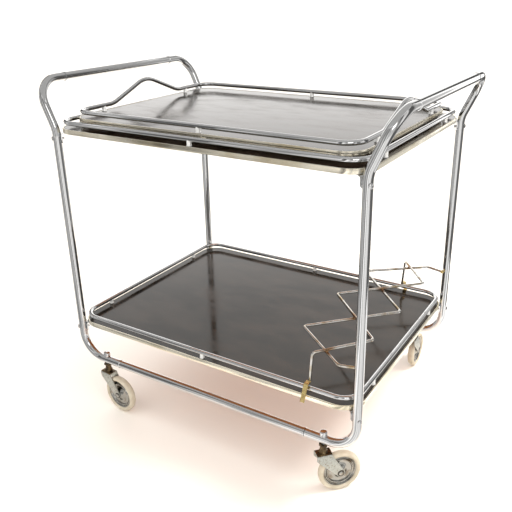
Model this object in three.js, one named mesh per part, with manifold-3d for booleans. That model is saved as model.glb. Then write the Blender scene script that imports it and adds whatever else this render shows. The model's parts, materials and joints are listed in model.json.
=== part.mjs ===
// Two-tier serving trolley: a bent chromed tube frame on four swivel casters, two laminate shelves with
// metal edging and gallery rails, a lift-off tray with raised hand grips and a wire bottle rack.
// Millimetres, +X along the length, -Y to the front, +Z up. The origin is on the floor under the middle.
import * as THREE from "three";
import { mergeVertices } from "three/addons/utils/BufferGeometryUtils.js";
import Module from "manifold-3d";

const wasm = await Module();
wasm.setup();

// Clearances
const GAP = 0.3;

// Frame tube
const TUBE_RADIUS = 8;
const TUBE_WALL = 1.2;
const TUBE_BORE = TUBE_RADIUS - TUBE_WALL;
const UPRIGHT_X = 316;
const UPRIGHT_Y = 227;
const LOWER_RAIL_Z = 113.5;
const LOWER_BEND_RADIUS = 51;
const LOWER_JOINT_X = 220;
const HANDLE_X = 355;
const HANDLE_Z = 683.5;
const HANDLE_LEAN = THREE.MathUtils.degToRad(24);
const LEAN_BEND_RADIUS = 57;
const HANDLE_BEND_RADIUS = 48;
const HANDLE_JOINT_Y = 159;
const SPIGOT_LENGTH = 18;
const SPIGOT_WALL = 1.4;

// Shelves
const LOWER_SHELF_TOP = 197.5;
const TOP_SHELF_TOP = 600.5;
const BOARD_HALF_X = 316;
const BOARD_HALF_Y = 235;
const BOARD_CORNER = 43;
const BOARD_THICKNESS = 9;
const LAMINATE_THICKNESS = 8.4;
const EDGE_THICKNESS = 2;

// Gallery rails
const RAIL_RADIUS = 4.25;
const RAIL_RISE = 10.7;
const RAIL_INSET = 7.5;
const POST_RADIUS = 4.9;
const SHELF_POST_Y = 147;

// Tray
const TRAY_TOP = 617.5;
const TRAY_HALF_X = 294.2;
const TRAY_HALF_Y = 209.4;
const TRAY_CORNER = 40;
const TRAY_POST_Y = 128;
const TRAY_FOOT_RADIUS = 9;
const TRAY_FOOT_INSET = 52;
const GRIP_FOOT_Y = 100;
const GRIP_APEX_RISE = 39.4;
const GRIP_FOOT_RADIUS = 60;
const GRIP_APEX_RADIUS = 66;

// Shelf brackets and their screws
const BRACKET_THICKNESS = 2;
const BRACKET_HALF_WIDTH = 8;
const BRACKET_DROP = 21;
const BRACKET_REACH = 42;
const SCREW_DROP = 12;
const SCREW_RADIUS = 2;
const SCREW_HOLE = 2.4;
const SCREW_HEAD_RADIUS = 4.4;
const SCREW_DOME_RADIUS = 2.6;
const SCREW_HEAD_HEIGHT = 2.4;
const SCREW_TAIL = 3;

// Casters
const CASTER_X = 255;
const WHEEL_RADIUS = 39.5;
const CASTER_TRAIL = 31;
const CASTER_YAW_DEGREES = { front_left: -4, front_right: 47, back_left: 25, back_right: 92 };
const CAP_RADIUS = 7;
const CAP_HEIGHT = 9.5;
const CAP_CHAMFER = 1;
const STEM_RADIUS = 4;
const STEM_HOLE = 4.6;
const LOCKNUT_RADIUS = 8.4;
const LOCKNUT_HEIGHT = 4.5;
const RACE_HEIGHT = 14.2;
const RACE_TOP_RADIUS = 5.8;
const RACE_FOOT_RADIUS = 7.6;
const RACE_FOOT_HEIGHT = 2.4;
const FORK_PLATE = 2;
const FORK_HALF_INSIDE = 8;
const FORK_FRONT = 14;
const FORK_BACK = -14;
const FORK_BACK_SKIRT = 12;
const FORK_FRONT_SKIRT = 4;
const FORK_EYE_RADIUS = 7.6;
const STEM_FLANGE_RADIUS = 6;
const STEM_FLANGE_HEIGHT = 2.2;
const AXLE_RADIUS = 3;
const AXLE_HEAD_RADIUS = 5.6;
const AXLE_DOME_RADIUS = 3.4;
const AXLE_HEAD_HEIGHT = 1.8;
const WHEEL_BORE = 3.3;
const HUB_RADIUS = 7.2;
const HUB_HALF_WIDTH = 7.4;
const HUB_SKIRT_RADIUS = 9.2;
const HUB_SKIRT_HALF_WIDTH = 5.6;
const DISC_STEP_RADIUS = 23.4;
const DISC_HALF_WIDTH = 4.6;
const DISC_GROOVE_HALF_WIDTH = 2.2;
const RIM_RADIUS = 30.7;
const RIM_INNER_RADIUS = 26.7;
const RIM_HALF_WIDTH = 4;
const TYRE_HALF_WIDTH = 7.4;
const TYRE_BASE_HALF_WIDTH = 4.9;
const TYRE_TREAD_HALF_WIDTH = 3.2;
const TYRE_SHOULDER = 2.6;

// Bottle rack
const WIRE_RADIUS = 2.5;
const RACK_Z = 271;
const RACK_TIP_LEFT_X = 167;
const RACK_TIP_RIGHT_X = 299;
const RACK_LEGGED_TIP_Y = 130;
const RACK_ARMED_TIP_Y = 139;
const RACK_TIP_RADIUS = 6;
const RACK_LEG_X = 227;
const RACK_FOOT_X = 223;
const RACK_LEG_Y = 219.5;
const RACK_LEG_BEND = 7;
const RACK_FOOT_BEND = 3.5;
const RACK_ARM_X = 278;
const RACK_ARM_Y = 225;
const RACK_ARM_BEND = 12;
const RACK_ARM_END_X = 311;
const RACK_ARM_END_Y = 215.4;
const RACK_BEAD_RADIUS = 4.2;
const CLIP_HALF_WIDTH = 4.2;
const CLIP_THICKNESS = 1.2;
const CLIP_BEND_RADIUS = 3;
const CLIP_SHOULDER_Y = 232.5;
const CLIP_END_Y = 247;
const CLIP_DROP = 7.4;

// Facets
const BEND_STEP = THREE.MathUtils.degToRad(23);
const TUBE_SIDES = 12;
const BORE_SIDES = 8;
const RAIL_SIDES = 8;
const WIRE_SIDES = 6;
const CORNER_SEGMENTS = 5;
const WHEEL_SEGMENTS = 20;
const TURNED_SEGMENTS = 10;

// ---------------------------------------------------------------- materials

function chrome() {
  return new THREE.MeshStandardMaterial({ color: 0xd9dad8, roughness: 0.08, metalness: 1 });
}

function blackLaminate() {
  return new THREE.MeshStandardMaterial({ color: 0x0d0b0c, roughness: 0.18, metalness: 0 });
}

function paleGold() {
  return new THREE.MeshStandardMaterial({ color: 0xcbbd95, roughness: 0.3, metalness: 0.9 });
}

function zinc() {
  return new THREE.MeshStandardMaterial({ color: 0xa9aaa4, roughness: 0.4, metalness: 0.9 });
}

function darkBronze() {
  return new THREE.MeshStandardMaterial({ color: 0x4b3622, roughness: 0.38, metalness: 0.85 });
}

function creamRubber() {
  return new THREE.MeshStandardMaterial({ color: 0xe8d9b8, roughness: 0.6, metalness: 0 });
}

function brass() {
  return new THREE.MeshStandardMaterial({ color: 0xc9a94f, roughness: 0.3, metalness: 1 });
}

// ---------------------------------------------------------------- solids

function toSolid(geometry) {
  const bare = geometry.clone();
  bare.deleteAttribute("normal");
  bare.deleteAttribute("uv");
  const merged = mergeVertices(bare);
  const vertProperties = new Float32Array(merged.attributes.position.array);
  const triVerts = new Uint32Array(merged.index.array);
  return new wasm.Manifold(new wasm.Mesh({ numProp: 3, vertProperties, triVerts }));
}

function toGeometry(solid) {
  const mesh = solid.getMesh();
  const geometry = new THREE.BufferGeometry();
  geometry.setAttribute("position", new THREE.BufferAttribute(mesh.vertProperties, 3));
  geometry.setIndex(new THREE.BufferAttribute(mesh.triVerts, 1));
  return geometry;
}

function joined(geometries) {
  const [first, ...rest] = geometries.map(toSolid);
  return toGeometry(rest.reduce((whole, piece) => whole.add(piece), first));
}

function cut(geometry, tools) {
  return toGeometry(tools.map(toSolid).reduce((whole, tool) => whole.subtract(tool), toSolid(geometry)));
}

function namedMesh(name, geometry, material) {
  const mesh = new THREE.Mesh(geometry, material);
  mesh.name = name;
  return mesh;
}

// ---------------------------------------------------------------- routes

// A polyline whose corners are rounded: each station carries its point and its direction of travel.
function filletedRoute(corners, closed) {
  const count = corners.length;
  const stations = [];
  corners.forEach((corner, index) => {
    const before = corners[(index + count - 1) % count].point;
    const after = corners[(index + 1) % count].point;
    const inward = corner.point.clone().sub(before).normalize();
    const outward = after.clone().sub(corner.point).normalize();
    if (!closed && index === 0) {
      stations.push({ point: corner.point, tangent: outward });
    } else if (!closed && index === count - 1) {
      stations.push({ point: corner.point, tangent: inward });
    } else {
      stations.push(...cornerStations(corner, inward, outward));
    }
  });
  return stations;
}

function cornerStations({ point, radius }, inward, outward) {
  const turn = inward.angleTo(outward);
  const steps = Math.max(2, Math.ceil(turn / BEND_STEP));
  const side = outward.clone().addScaledVector(inward, -outward.dot(inward)).normalize();
  const start = point.clone().addScaledVector(inward, -radius * Math.tan(turn / 2));
  const centre = start.clone().addScaledVector(side, radius);
  return Array.from({ length: steps + 1 }, (_, step) => {
    const angle = (turn * step) / steps;
    return {
      point: centre
        .clone()
        .addScaledVector(side, -radius * Math.cos(angle))
        .addScaledVector(inward, radius * Math.sin(angle)),
      tangent: inward
        .clone()
        .multiplyScalar(Math.cos(angle))
        .addScaledVector(side, Math.sin(angle)),
    };
  });
}

// A curve that visits the stations one by one, so straight runs need no stations between their ends.
class StationCurve extends THREE.Curve {
  constructor(stations, closed) {
    super();
    this.stations = stations;
    this.spans = closed ? stations.length : stations.length - 1;
  }

  stationAt(t) {
    return this.stations[Math.round(t * this.spans) % this.stations.length];
  }

  getPointAt(t, target = new THREE.Vector3()) {
    return target.copy(this.stationAt(t).point);
  }

  getTangentAt(t, target = new THREE.Vector3()) {
    return target.copy(this.stationAt(t).tangent);
  }
}

function ringPoints(radius, sides) {
  return Array.from({ length: sides }, (_, side) => {
    const angle = (2 * Math.PI * side) / sides;
    return new THREE.Vector2(radius * Math.cos(angle), radius * Math.sin(angle));
  });
}

function sweep(shape, stations) {
  const curve = new StationCurve(stations, false);
  return new THREE.ExtrudeGeometry(shape, { steps: curve.spans, extrudePath: curve, bevelEnabled: false });
}

function rodAlong(stations, radius, sides) {
  return sweep(new THREE.Shape(ringPoints(radius, sides)), stations);
}

function tubeAlong(stations) {
  const shape = new THREE.Shape(ringPoints(TUBE_RADIUS, TUBE_SIDES));
  shape.holes.push(new THREE.Path(ringPoints(TUBE_BORE, BORE_SIDES)));
  return sweep(shape, stations);
}

function closedRod(corners) {
  const curve = new StationCurve(filletedRoute(corners, true), true);
  return new THREE.TubeGeometry(curve, curve.spans, RAIL_RADIUS, RAIL_SIDES, true);
}

// ---------------------------------------------------------------- simple shapes

function vec(x, y, z) {
  return new THREE.Vector3(x, y, z);
}

function turned(profile, segments) {
  const points = profile.map(([radius, height]) => new THREE.Vector2(radius, height));
  return new THREE.LatheGeometry(points, segments);
}

// Turned about the vertical axis.
function turnedUpright(profile, segments) {
  return turned(profile, segments).rotateX(Math.PI / 2);
}

function roundedRectangle(halfX, halfY, corner) {
  const outline = [];
  const quadrants = [
    [1, 1],
    [-1, 1],
    [-1, -1],
    [1, -1],
  ];
  quadrants.forEach(([signX, signY], quadrant) => {
    for (let step = 0; step <= CORNER_SEGMENTS; step += 1) {
      const angle = (Math.PI / 2) * (quadrant + step / CORNER_SEGMENTS);
      const x = signX * (halfX - corner) + corner * Math.cos(angle);
      const y = signY * (halfY - corner) + corner * Math.sin(angle);
      outline.push(new THREE.Vector2(x, y));
    }
  });
  return outline;
}

function plate(shape, thickness) {
  return new THREE.ExtrudeGeometry(shape, { depth: thickness, bevelEnabled: false });
}

// ---------------------------------------------------------------- frame

function legRoute(signX, signY) {
  const leanHeight = (HANDLE_X - UPRIGHT_X) / Math.tan(HANDLE_LEAN);
  const corners = [
    { point: vec(LOWER_JOINT_X + GAP, UPRIGHT_Y, LOWER_RAIL_Z) },
    { point: vec(UPRIGHT_X, UPRIGHT_Y, LOWER_RAIL_Z), radius: LOWER_BEND_RADIUS },
    { point: vec(UPRIGHT_X, UPRIGHT_Y, HANDLE_Z - leanHeight), radius: LEAN_BEND_RADIUS },
    { point: vec(HANDLE_X, UPRIGHT_Y, HANDLE_Z), radius: HANDLE_BEND_RADIUS },
    { point: vec(HANDLE_X, HANDLE_JOINT_Y + GAP, HANDLE_Z) },
  ];
  corners.forEach(({ point }) => point.multiply(vec(signX, signY, 1)));
  return filletedRoute(corners, false);
}

// Direction from a shelf corner's centre out to the upright beside it.
function bracketHeading(signX, signY) {
  const reachX = UPRIGHT_X - (BOARD_HALF_X - BOARD_CORNER);
  const reachY = UPRIGHT_Y - (BOARD_HALF_Y - BOARD_CORNER);
  return Math.atan2(signY * reachY, signX * reachX);
}

function screwHeight(shelfTop) {
  return shelfTop - BOARD_THICKNESS - SCREW_DROP;
}

function screwBore(signX, signY, height) {
  const bore = new THREE.CylinderGeometry(SCREW_HOLE, SCREW_HOLE, 4 * TUBE_RADIUS, TURNED_SEGMENTS);
  bore.rotateZ(Math.PI / 2);
  bore.rotateZ(bracketHeading(signX, signY));
  return bore.translate(signX * UPRIGHT_X, signY * UPRIGHT_Y, height);
}

function stemBore(signX, signY) {
  const bore = new THREE.CylinderGeometry(STEM_HOLE, STEM_HOLE, 4 * TUBE_RADIUS, TURNED_SEGMENTS);
  bore.rotateX(Math.PI / 2);
  return bore.translate(signX * CASTER_X, signY * UPRIGHT_Y, LOWER_RAIL_Z);
}

function legTube(signX, signY) {
  const bores = [LOWER_SHELF_TOP, TOP_SHELF_TOP].map((top) => screwBore(signX, signY, screwHeight(top)));
  return cut(tubeAlong(legRoute(signX, signY)), [...bores, stemBore(signX, signY)]);
}

// A straight tube along Z whose necked ends slip into the leg tubes.
function neckedTube(halfLength) {
  const neck = TUBE_BORE * Math.cos(Math.PI / BORE_SIDES) - GAP;
  const bore = neck - SPIGOT_WALL;
  const tip = halfLength + SPIGOT_LENGTH;
  const profile = [
    [bore, -tip],
    [neck, -tip],
    [neck, -halfLength],
    [TUBE_RADIUS, -halfLength],
    [TUBE_RADIUS, halfLength],
    [neck, halfLength],
    [neck, tip],
    [bore, tip],
    [bore, -tip],
  ];
  return turnedUpright(profile, TUBE_SIDES);
}

function lowerRail(signY) {
  const rail = neckedTube(LOWER_JOINT_X).rotateY(Math.PI / 2);
  return rail.translate(0, signY * UPRIGHT_Y, LOWER_RAIL_Z);
}

function handleBar(signX) {
  const bar = neckedTube(HANDLE_JOINT_Y).rotateX(Math.PI / 2);
  return bar.translate(signX * HANDLE_X, 0, HANDLE_Z);
}

// ---------------------------------------------------------------- shelves and tray

function laminateBoard(halfX, halfY, corner, top) {
  const inset = EDGE_THICKNESS + GAP;
  const outline = roundedRectangle(halfX - inset, halfY - inset, corner - inset);
  const board = plate(new THREE.Shape(outline), LAMINATE_THICKNESS);
  return board.translate(0, 0, top - GAP - LAMINATE_THICKNESS);
}

function edgeStrip(halfX, halfY, corner, top) {
  const shape = new THREE.Shape(roundedRectangle(halfX, halfY, corner));
  const inner = roundedRectangle(halfX - EDGE_THICKNESS, halfY - EDGE_THICKNESS, corner - EDGE_THICKNESS);
  shape.holes.push(new THREE.Path(inner));
  return plate(shape, BOARD_THICKNESS).translate(0, 0, top - BOARD_THICKNESS);
}

function galleryPost(x, y, boardTop) {
  const post = new THREE.CylinderGeometry(POST_RADIUS, POST_RADIUS, RAIL_RISE, TURNED_SEGMENTS);
  post.rotateX(Math.PI / 2);
  return post.translate(x, y, boardTop + RAIL_RISE / 2);
}

function galleryPosts(halfX, halfY, endPostY, boardTop) {
  const places = [
    [0, -halfY],
    [0, halfY],
    [halfX, -endPostY],
    [halfX, endPostY],
    [-halfX, -endPostY],
    [-halfX, endPostY],
  ];
  return places.map(([x, y]) => galleryPost(x, y, boardTop));
}

function shelfGallery(top) {
  const halfX = BOARD_HALF_X - RAIL_INSET;
  const halfY = BOARD_HALF_Y - RAIL_INSET;
  const radius = BOARD_CORNER - RAIL_INSET;
  const z = top + RAIL_RISE;
  const corners = [
    { point: vec(halfX, halfY, z), radius },
    { point: vec(-halfX, halfY, z), radius },
    { point: vec(-halfX, -halfY, z), radius },
    { point: vec(halfX, -halfY, z), radius },
  ];
  return joined([closedRod(corners), ...galleryPosts(halfX, halfY, SHELF_POST_Y, top)]);
}

// The raised hand grip across one end of the tray: foot, apex, foot.
function gripCorners(x, direction, z) {
  return [
    { point: vec(x, -direction * GRIP_FOOT_Y, z), radius: GRIP_FOOT_RADIUS },
    { point: vec(x, 0, z + GRIP_APEX_RISE), radius: GRIP_APEX_RADIUS },
    { point: vec(x, direction * GRIP_FOOT_Y, z), radius: GRIP_FOOT_RADIUS },
  ];
}

function trayGallery() {
  const halfX = TRAY_HALF_X - RAIL_INSET;
  const halfY = TRAY_HALF_Y - RAIL_INSET;
  const radius = TRAY_CORNER - RAIL_INSET;
  const z = TRAY_TOP + RAIL_RISE;
  const corners = [
    { point: vec(halfX, halfY, z), radius },
    { point: vec(-halfX, halfY, z), radius },
    ...gripCorners(-halfX, -1, z),
    { point: vec(-halfX, -halfY, z), radius },
    { point: vec(halfX, -halfY, z), radius },
    ...gripCorners(halfX, 1, z),
  ];
  return joined([closedRod(corners), ...galleryPosts(halfX, halfY, TRAY_POST_Y, TRAY_TOP)]);
}

function trayFoot(x, y) {
  const bottom = TOP_SHELF_TOP + GAP;
  const height = TRAY_TOP - LAMINATE_THICKNESS - bottom;
  const foot = new THREE.CylinderGeometry(TRAY_FOOT_RADIUS, TRAY_FOOT_RADIUS, height, TURNED_SEGMENTS);
  foot.rotateX(Math.PI / 2);
  return foot.translate(x, y, bottom + height / 2);
}

function trayBoard() {
  const x = TRAY_HALF_X - TRAY_FOOT_INSET;
  const y = TRAY_HALF_Y - TRAY_FOOT_INSET;
  const feet = [trayFoot(x, y), trayFoot(-x, y), trayFoot(-x, -y), trayFoot(x, -y)];
  return joined([laminateBoard(TRAY_HALF_X, TRAY_HALF_Y, TRAY_CORNER, TRAY_TOP), ...feet]);
}

// ---------------------------------------------------------------- brackets and screws

// Built with +X pointing out of the shelf and the upright's axis at the origin, its top face at zero height.
function bracketAtOrigin() {
  const near = -(TUBE_RADIUS + GAP);
  const tab = new THREE.BoxGeometry(BRACKET_THICKNESS, 2 * BRACKET_HALF_WIDTH, BRACKET_DROP);
  tab.translate(near - BRACKET_THICKNESS / 2, 0, -BRACKET_DROP / 2);
  const foot = new THREE.BoxGeometry(BRACKET_REACH, 2 * BRACKET_HALF_WIDTH, BRACKET_THICKNESS);
  foot.translate(near - BRACKET_REACH / 2, 0, -BRACKET_THICKNESS / 2);
  const hole = new THREE.CylinderGeometry(SCREW_HOLE, SCREW_HOLE, 4 * BRACKET_THICKNESS, TURNED_SEGMENTS);
  hole.rotateZ(Math.PI / 2).translate(near - BRACKET_THICKNESS / 2, 0, -SCREW_DROP + GAP);
  return cut(joined([tab, foot]), [hole]);
}

function bracket(signX, signY, shelfTop) {
  const piece = bracketAtOrigin().rotateZ(bracketHeading(signX, signY));
  return piece.translate(signX * UPRIGHT_X, signY * UPRIGHT_Y, shelfTop - BOARD_THICKNESS - GAP);
}

// A domed screw that lies along X with its head outermost, about the upright's axis.
function screw(signX, signY, height) {
  const seat = TUBE_RADIUS + GAP;
  const tail = -(seat + BRACKET_THICKNESS + SCREW_TAIL);
  const profile = [
    [0, tail],
    [SCREW_RADIUS, tail],
    [SCREW_RADIUS, seat],
    [SCREW_HEAD_RADIUS, seat],
    [SCREW_DOME_RADIUS, seat + SCREW_HEAD_HEIGHT],
    [0, seat + SCREW_HEAD_HEIGHT],
  ];
  const piece = turned(profile, TURNED_SEGMENTS).rotateZ(-Math.PI / 2);
  piece.rotateZ(bracketHeading(signX, signY));
  return piece.translate(signX * UPRIGHT_X, signY * UPRIGHT_Y, height);
}

// ---------------------------------------------------------------- casters

// Heights of the stack under the lower rail, from the top down.
const LOCKNUT_TOP = LOWER_RAIL_Z - TUBE_RADIUS - GAP;
const RACE_TOP = LOCKNUT_TOP - LOCKNUT_HEIGHT - GAP;
const FORK_TOP = RACE_TOP - RACE_HEIGHT - GAP;
const FLANGE_TOP = FORK_TOP - FORK_PLATE - GAP;
const STEM_BOTTOM = FLANGE_TOP - STEM_FLANGE_HEIGHT;

function casterStem() {
  const capBottom = LOWER_RAIL_Z + TUBE_RADIUS + GAP;
  const profile = [
    [0, STEM_BOTTOM],
    [STEM_FLANGE_RADIUS, STEM_BOTTOM],
    [STEM_FLANGE_RADIUS, FLANGE_TOP],
    [STEM_RADIUS, FLANGE_TOP],
    [STEM_RADIUS, LOCKNUT_TOP - LOCKNUT_HEIGHT],
    [LOCKNUT_RADIUS, LOCKNUT_TOP - LOCKNUT_HEIGHT],
    [LOCKNUT_RADIUS, LOCKNUT_TOP],
    [STEM_RADIUS, LOCKNUT_TOP],
    [STEM_RADIUS, capBottom],
    [CAP_RADIUS, capBottom],
    [CAP_RADIUS, capBottom + CAP_HEIGHT - CAP_CHAMFER],
    [CAP_RADIUS - CAP_CHAMFER, capBottom + CAP_HEIGHT],
    [0, capBottom + CAP_HEIGHT],
  ];
  return turnedUpright(profile, TURNED_SEGMENTS);
}

function casterRace() {
  const bore = STEM_RADIUS + GAP;
  const bottom = RACE_TOP - RACE_HEIGHT;
  const profile = [
    [bore, bottom],
    [RACE_FOOT_RADIUS, bottom],
    [RACE_FOOT_RADIUS, bottom + RACE_FOOT_HEIGHT],
    [RACE_TOP_RADIUS, RACE_TOP],
    [bore, RACE_TOP],
    [bore, bottom],
  ];
  return turnedUpright(profile, TURNED_SEGMENTS);
}

// Point where a line from a place outside a circle touches it; side picks one of the two tangents.
function tangentPoint(from, centre, radius, side) {
  const away = from.clone().sub(centre);
  const angle = away.angle() + side * Math.acos(radius / away.length());
  return new THREE.Vector2(centre.x + radius * Math.cos(angle), centre.y + radius * Math.sin(angle));
}

// Side view of one fork arm: wide below the top plate, tapering to an eye around the axle.
function forkArmShape() {
  const eye = new THREE.Vector2(CASTER_TRAIL, WHEEL_RADIUS);
  const front = new THREE.Vector2(FORK_FRONT, FORK_TOP - FORK_FRONT_SKIRT);
  const back = new THREE.Vector2(FORK_BACK, FORK_TOP - FORK_BACK_SKIRT);
  const leave = tangentPoint(front, eye, FORK_EYE_RADIUS, -1).sub(eye).angle();
  const arrive = tangentPoint(back, eye, FORK_EYE_RADIUS, 1).sub(eye).angle();
  const sweepAngle = (leave - arrive + 2 * Math.PI) % (2 * Math.PI);
  const outline = [
    new THREE.Vector2(FORK_BACK, FORK_TOP),
    back,
  ];
  for (let step = 0; step <= CORNER_SEGMENTS; step += 1) {
    const angle = arrive + (sweepAngle * step) / CORNER_SEGMENTS;
    const rim = new THREE.Vector2(Math.cos(angle), Math.sin(angle));
    outline.push(rim.multiplyScalar(FORK_EYE_RADIUS).add(eye));
  }
  outline.push(front, new THREE.Vector2(FORK_FRONT, FORK_TOP));
  return new THREE.Shape(outline);
}

function forkArm(side) {
  const arm = plate(forkArmShape(), FORK_PLATE).rotateX(Math.PI / 2);
  const outerFace = side > 0 ? FORK_HALF_INSIDE + FORK_PLATE : -FORK_HALF_INSIDE;
  return arm.translate(0, outerFace, 0);
}

function axlePin() {
  const face = FORK_HALF_INSIDE + FORK_PLATE / 2;
  const end = FORK_HALF_INSIDE + FORK_PLATE + AXLE_HEAD_HEIGHT;
  const profile = [
    [0, -end],
    [AXLE_DOME_RADIUS, -end],
    [AXLE_HEAD_RADIUS, -end + AXLE_HEAD_HEIGHT / 2],
    [AXLE_HEAD_RADIUS, -face],
    [AXLE_RADIUS, -face],
    [AXLE_RADIUS, face],
    [AXLE_HEAD_RADIUS, face],
    [AXLE_HEAD_RADIUS, end - AXLE_HEAD_HEIGHT / 2],
    [AXLE_DOME_RADIUS, end],
    [0, end],
  ];
  return turned(profile, TURNED_SEGMENTS).translate(CASTER_TRAIL, 0, WHEEL_RADIUS);
}

function casterFork() {
  const width = 2 * (FORK_HALF_INSIDE + FORK_PLATE);
  const top = new THREE.BoxGeometry(FORK_FRONT - FORK_BACK, width, FORK_PLATE);
  top.translate((FORK_FRONT + FORK_BACK) / 2, 0, FORK_TOP - FORK_PLATE / 2);
  const hole = new THREE.CylinderGeometry(STEM_HOLE, STEM_HOLE, 4 * FORK_PLATE, TURNED_SEGMENTS);
  hole.rotateX(Math.PI / 2).translate(0, 0, FORK_TOP);
  return cut(joined([top, forkArm(1), forkArm(-1), axlePin()]), [hole]);
}

function mirroredProfile(half) {
  const lower = half.map(([radius, width]) => [radius, -width]);
  const upper = [...half].reverse();
  return [...lower, ...upper, lower[0]];
}

function casterWheel() {
  const half = [
    [WHEEL_BORE, HUB_HALF_WIDTH],
    [HUB_RADIUS, HUB_HALF_WIDTH],
    [HUB_SKIRT_RADIUS, HUB_SKIRT_HALF_WIDTH],
    [DISC_STEP_RADIUS, DISC_HALF_WIDTH],
    [RIM_INNER_RADIUS, DISC_GROOVE_HALF_WIDTH],
    [RIM_RADIUS, RIM_HALF_WIDTH],
  ];
  const wheel = turned(mirroredProfile(half), WHEEL_SEGMENTS);
  return wheel.translate(CASTER_TRAIL, 0, WHEEL_RADIUS);
}

function casterTyre() {
  const base = RIM_RADIUS + GAP;
  const half = [
    [base, TYRE_BASE_HALF_WIDTH],
    [(base + WHEEL_RADIUS) / 2, TYRE_HALF_WIDTH],
    [WHEEL_RADIUS - TYRE_SHOULDER / 2, TYRE_TREAD_HALF_WIDTH + TYRE_SHOULDER],
    [WHEEL_RADIUS, TYRE_TREAD_HALF_WIDTH],
  ];
  const tyre = turned(mirroredProfile(half), WHEEL_SEGMENTS);
  return tyre.translate(CASTER_TRAIL, 0, WHEEL_RADIUS);
}

function caster(corner, signX, signY) {
  const assembly = new THREE.Group();
  assembly.position.set(signX * CASTER_X, signY * UPRIGHT_Y, 0);
  assembly.rotation.z = THREE.MathUtils.degToRad(CASTER_YAW_DEGREES[corner]);
  assembly.add(
    namedMesh(`caster_stem_${corner}`, casterStem(), chrome()),
    namedMesh(`caster_race_${corner}`, casterRace(), darkBronze()),
    namedMesh(`caster_fork_${corner}`, casterFork(), zinc()),
    namedMesh(`caster_wheel_${corner}`, casterWheel(), zinc()),
    namedMesh(`caster_tyre_${corner}`, casterTyre(), creamRubber()),
  );
  return assembly;
}

// ---------------------------------------------------------------- bottle rack

// The wire that stands on two legs: it runs right, left, right, left across the depth.
function leggedWire() {
  const z = RACK_Z + WIRE_RADIUS + GAP / 2;
  const footZ = LOWER_SHELF_TOP + RAIL_RISE + RAIL_RADIUS + WIRE_RADIUS + GAP;
  const footEndY = BOARD_HALF_Y - RAIL_INSET + WIRE_RADIUS / 2;
  const halfRoute = (sign) => [
    { point: vec(RACK_FOOT_X, sign * footEndY, footZ) },
    { point: vec(RACK_FOOT_X, sign * RACK_LEG_Y, footZ), radius: RACK_FOOT_BEND },
    { point: vec(RACK_LEG_X, sign * RACK_LEG_Y, z), radius: RACK_LEG_BEND },
    { point: vec(RACK_TIP_RIGHT_X, sign * RACK_LEGGED_TIP_Y, z), radius: RACK_TIP_RADIUS },
  ];
  const middle = { point: vec(RACK_TIP_LEFT_X, 0, z), radius: RACK_TIP_RADIUS };
  const route = filletedRoute([...halfRoute(-1), middle, ...halfRoute(1).reverse()], false);
  return rodAlong(route, WIRE_RADIUS, WIRE_SIDES);
}

// The wire that crosses it: its two arms reach the uprights and end in beads.
function armedWire() {
  const z = RACK_Z - WIRE_RADIUS - GAP / 2;
  const halfRoute = (sign) => [
    { point: vec(RACK_ARM_END_X, sign * RACK_ARM_END_Y, z) },
    { point: vec(RACK_ARM_X, sign * RACK_ARM_Y, z), radius: RACK_ARM_BEND },
    { point: vec(RACK_TIP_LEFT_X, sign * RACK_ARMED_TIP_Y, z), radius: RACK_TIP_RADIUS },
  ];
  const middle = { point: vec(RACK_TIP_RIGHT_X, 0, z), radius: RACK_TIP_RADIUS };
  const route = filletedRoute([...halfRoute(-1), middle, ...halfRoute(1).reverse()], false);
  const beads = [-1, 1].map((sign) => {
    const bead = new THREE.SphereGeometry(RACK_BEAD_RADIUS, WIRE_SIDES, WIRE_SIDES);
    return bead.translate(RACK_ARM_END_X, sign * RACK_ARM_END_Y, z);
  });
  return joined([rodAlong(route, WIRE_RADIUS, WIRE_SIDES), ...beads]);
}

// A strip that lies over the wire's foot and the gallery rail and hangs down outside the shelf edge.
function railClip(sign) {
  const half = CLIP_THICKNESS / 2;
  const z = LOWER_SHELF_TOP + RAIL_RISE + RAIL_RADIUS + 2 * WIRE_RADIUS + 2 * GAP + half;
  const innerY = RACK_LEG_Y + WIRE_RADIUS + 2 * GAP;
  const corners = [
    { point: vec(RACK_FOOT_X, sign * innerY, z) },
    { point: vec(RACK_FOOT_X, sign * CLIP_SHOULDER_Y, z), radius: CLIP_BEND_RADIUS },
    { point: vec(RACK_FOOT_X, sign * CLIP_END_Y, LOWER_SHELF_TOP - CLIP_DROP) },
  ];
  const outline = [
    new THREE.Vector2(-half, -CLIP_HALF_WIDTH),
    new THREE.Vector2(half, -CLIP_HALF_WIDTH),
    new THREE.Vector2(half, CLIP_HALF_WIDTH),
    new THREE.Vector2(-half, CLIP_HALF_WIDTH),
  ];
  return sweep(new THREE.Shape(outline), filletedRoute(corners, false));
}

// ---------------------------------------------------------------- assembly

const CORNERS = [
  ["front_left", -1, -1],
  ["front_right", 1, -1],
  ["back_left", -1, 1],
  ["back_right", 1, 1],
];

function shelf(prefix, top) {
  const group = new THREE.Group();
  const board = laminateBoard(BOARD_HALF_X, BOARD_HALF_Y, BOARD_CORNER, top);
  const edge = edgeStrip(BOARD_HALF_X, BOARD_HALF_Y, BOARD_CORNER, top);
  group.add(
    namedMesh(`${prefix}_board`, board, blackLaminate()),
    namedMesh(`${prefix}_edge_strip`, edge, paleGold()),
    namedMesh(`${prefix}_gallery`, shelfGallery(top), chrome()),
  );
  return group;
}

function frame() {
  const group = new THREE.Group();
  CORNERS.forEach(([corner, signX, signY]) => {
    group.add(namedMesh(`leg_tube_${corner}`, legTube(signX, signY), chrome()));
  });
  group.add(
    namedMesh("lower_rail_front", lowerRail(-1), chrome()),
    namedMesh("lower_rail_back", lowerRail(1), chrome()),
    namedMesh("handle_bar_left", handleBar(-1), chrome()),
    namedMesh("handle_bar_right", handleBar(1), chrome()),
  );
  return group;
}

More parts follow.
